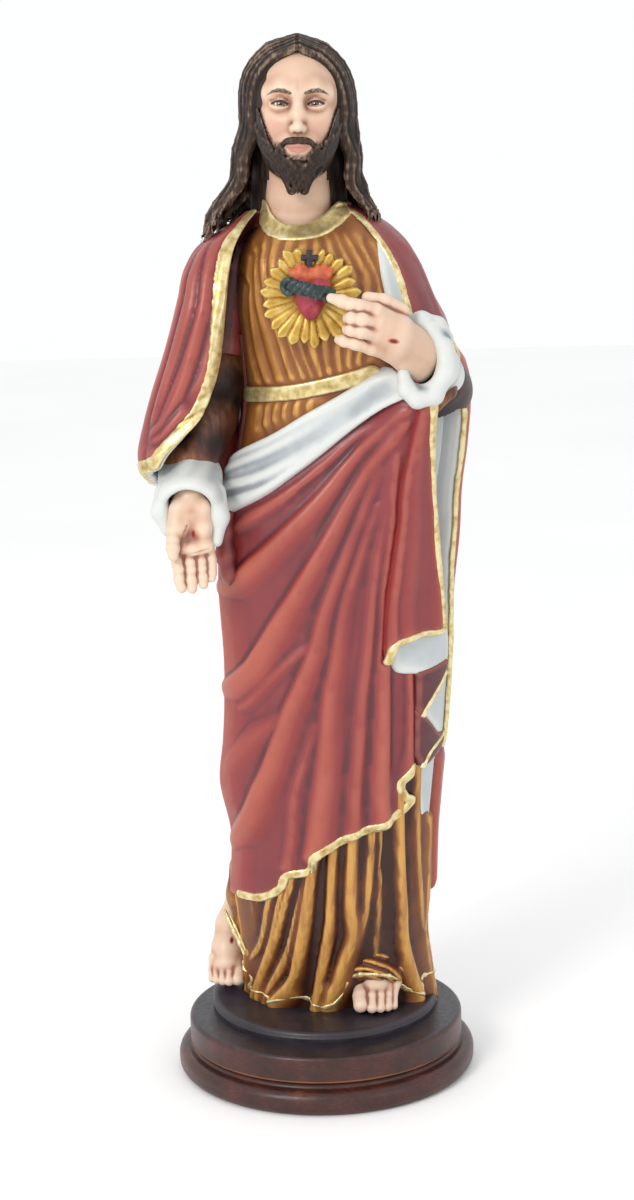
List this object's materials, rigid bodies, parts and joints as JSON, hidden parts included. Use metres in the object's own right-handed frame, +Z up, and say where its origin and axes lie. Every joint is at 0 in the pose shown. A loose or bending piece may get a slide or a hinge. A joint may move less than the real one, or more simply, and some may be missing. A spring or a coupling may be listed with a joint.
{
  "type": "sacred heart statue",
  "caption": "Standing robed figure of a cast, painted devotional statue, one hand at the raised heart and one lowered, on a round turned plinth.",
  "frame": {"origin": "centre of the plinth's underside, on the plinth's axis", "axes": "+Z up, the figure faces -Y, +X to the right of a viewer in front of it"},
  "size_m": [0.1898, 0.176, 0.6014],
  "materials": {
    "red_paint": "dull crimson satin paint, orange on the crests and purple in the hollows",
    "stained_wood": "dark red-brown stained and varnished, lighter on the worn edges",
    "white_paint": "cool white satin paint with grey in the hollows",
    "gold_leaf": "crinkled gold leaf",
    "bronze_paint": "bronze-brown paint brushed with gold on the crests",
    "flesh_paint": "pale beige satin paint",
    "hair_paint": "dark brown paint with grey-brown highlights",
    "dark_paint": "near-black satin paint"
  },
  "bodies": {
    "root": {"figure": "red_paint", "plinth": "stained_wood"}
  },
  "joints": []
}
